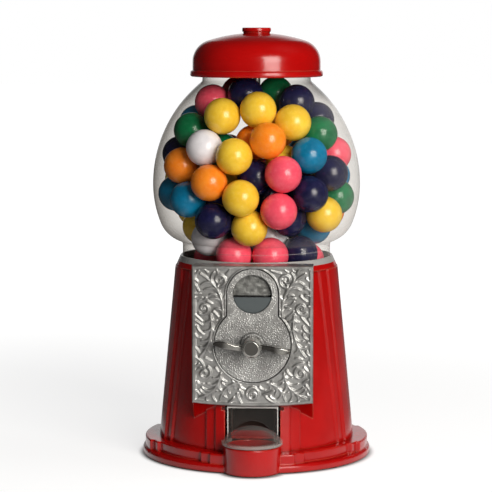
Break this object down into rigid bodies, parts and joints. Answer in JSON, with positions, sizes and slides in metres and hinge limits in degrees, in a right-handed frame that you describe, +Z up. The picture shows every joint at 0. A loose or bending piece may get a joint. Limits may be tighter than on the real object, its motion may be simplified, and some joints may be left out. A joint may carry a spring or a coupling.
{
  "type": "gumball machine",
  "caption": "Small desktop gumball machine: painted cast base and body, coin plate with turn handle, clear globe of gumballs, lift-off lid and clear take-out flap.",
  "frame": {"origin": "middle of the footprint on the surface that the feet stand on; the machine's axis stands 5.3 mm behind it because the take-out cup juts out in front", "axes": "+Z up, -Y is the front with the coin plate, +X is to the right of someone facing it"},
  "size_m": [0.1504, 0.161, 0.28],
  "materials": {
    "red_paint": "glossy red enamel on castings",
    "cast_metal": "bright die-cast metal, stippled and textured",
    "steel": "plain bright steel",
    "grey_plastic": "grey moulded plastic",
    "black_plastic": "black moulded plastic",
    "white_plastic": "natural white gear plastic",
    "clear_glass": "clear globe",
    "clear_plastic": "clear moulded flap",
    "rubber": "soft black rubber",
    "tin": "plain pressed sheet",
    "gum_yellow": "candy coat",
    "gum_pink": "candy coat",
    "gum_navy": "candy coat",
    "gum_green": "candy coat",
    "gum_orange": "candy coat",
    "gum_blue": "candy coat",
    "gum_white": "candy coat",
    "gum_red": "candy coat"
  },
  "bodies": {
    "machine": {"base_casting": "red_paint", "body_casting": "red_paint", "coin_plate": "cast_metal", "coin_guide": "steel", "mech_plate": "steel", "plate_screws": "steel", "mech_screws": "steel", "cover_screws": "steel", "body_screws": "steel", "chute_screws": "steel", "shaft_bushing": "white_plastic", "pawl_pin": "steel", "pawl_spring": "steel", "hopper": "grey_plastic", "globe_gasket": "rubber", "ball_guard": "black_plastic", "chute": "black_plastic", "globe": "clear_glass", "tie_rod": "steel", "base_nut": "steel", "bottom_cover": "tin", "rubber_feet": "rubber", "gumballs_yellow": "gum_yellow", "gumballs_pink": "gum_pink", "gumballs_navy": "gum_navy", "gumballs_green": "gum_green", "gumballs_orange": "gum_orange", "gumballs_blue": "gum_blue", "gumballs_white": "gum_white", "gumballs_red": "gum_red"},
    "handle_set": {"handle": "cast_metal", "handle_shaft": "steel", "coin_wheel": "steel", "ratchet_wheel": "steel", "drive_gear": "white_plastic", "shaft_clip": "steel"},
    "ball_wheel": {"gumball_wheel": "white_plastic", "pocket_gumballs": "gum_orange"},
    "pawl": {"pawl": "steel"},
    "door": {"chute_door": "clear_plastic"},
    "lid": {"lid": "red_paint", "lid_gasket": "rubber"},
    "knob": {"lid_knob": "red_paint"},
    "plug": {"coin_plug": "rubber"}
  },
  "joints": [
    {"name": "handle_turn", "type": "hinge", "parent": "machine", "child": "handle_set", "pos_m": [0, -0.0547, 0.081], "axis": [0, 1, 0], "continuous": true},
    {"name": "wheel_turn", "type": "hinge", "parent": "machine", "child": "ball_wheel", "pos_m": [0, 0.0053, 0.1], "axis": [0, 0, 1], "continuous": true},
    {"name": "pawl_swing", "type": "hinge", "parent": "machine", "child": "pawl", "pos_m": [-0.0139, -0.0457, 0.0928], "axis": [0, 1, 0], "range_deg": [-3, 11]},
    {"name": "door_swing", "type": "hinge", "parent": "machine", "child": "door", "pos_m": [0, -0.0531, 0.0392], "axis": [-1, 0, 0], "range_deg": [0, 55]},
    {"name": "lid_lift", "type": "slide", "parent": "machine", "child": "lid", "axis": [0, 0, 1], "range_m": [0, 0.06]},
    {"name": "knob_turn", "type": "hinge", "parent": "lid", "child": "knob", "pos_m": [0, 0.0053, 0.277], "axis": [0, 0, 1], "continuous": true},
    {"name": "plug_pull", "type": "slide", "parent": "machine", "child": "plug", "axis": [0, 0, -1], "range_m": [0, 0.012]}
  ],
  "couplings": [
    {"joint": "wheel_turn", "follows": "handle_turn", "ratio": 0.25}
  ]
}
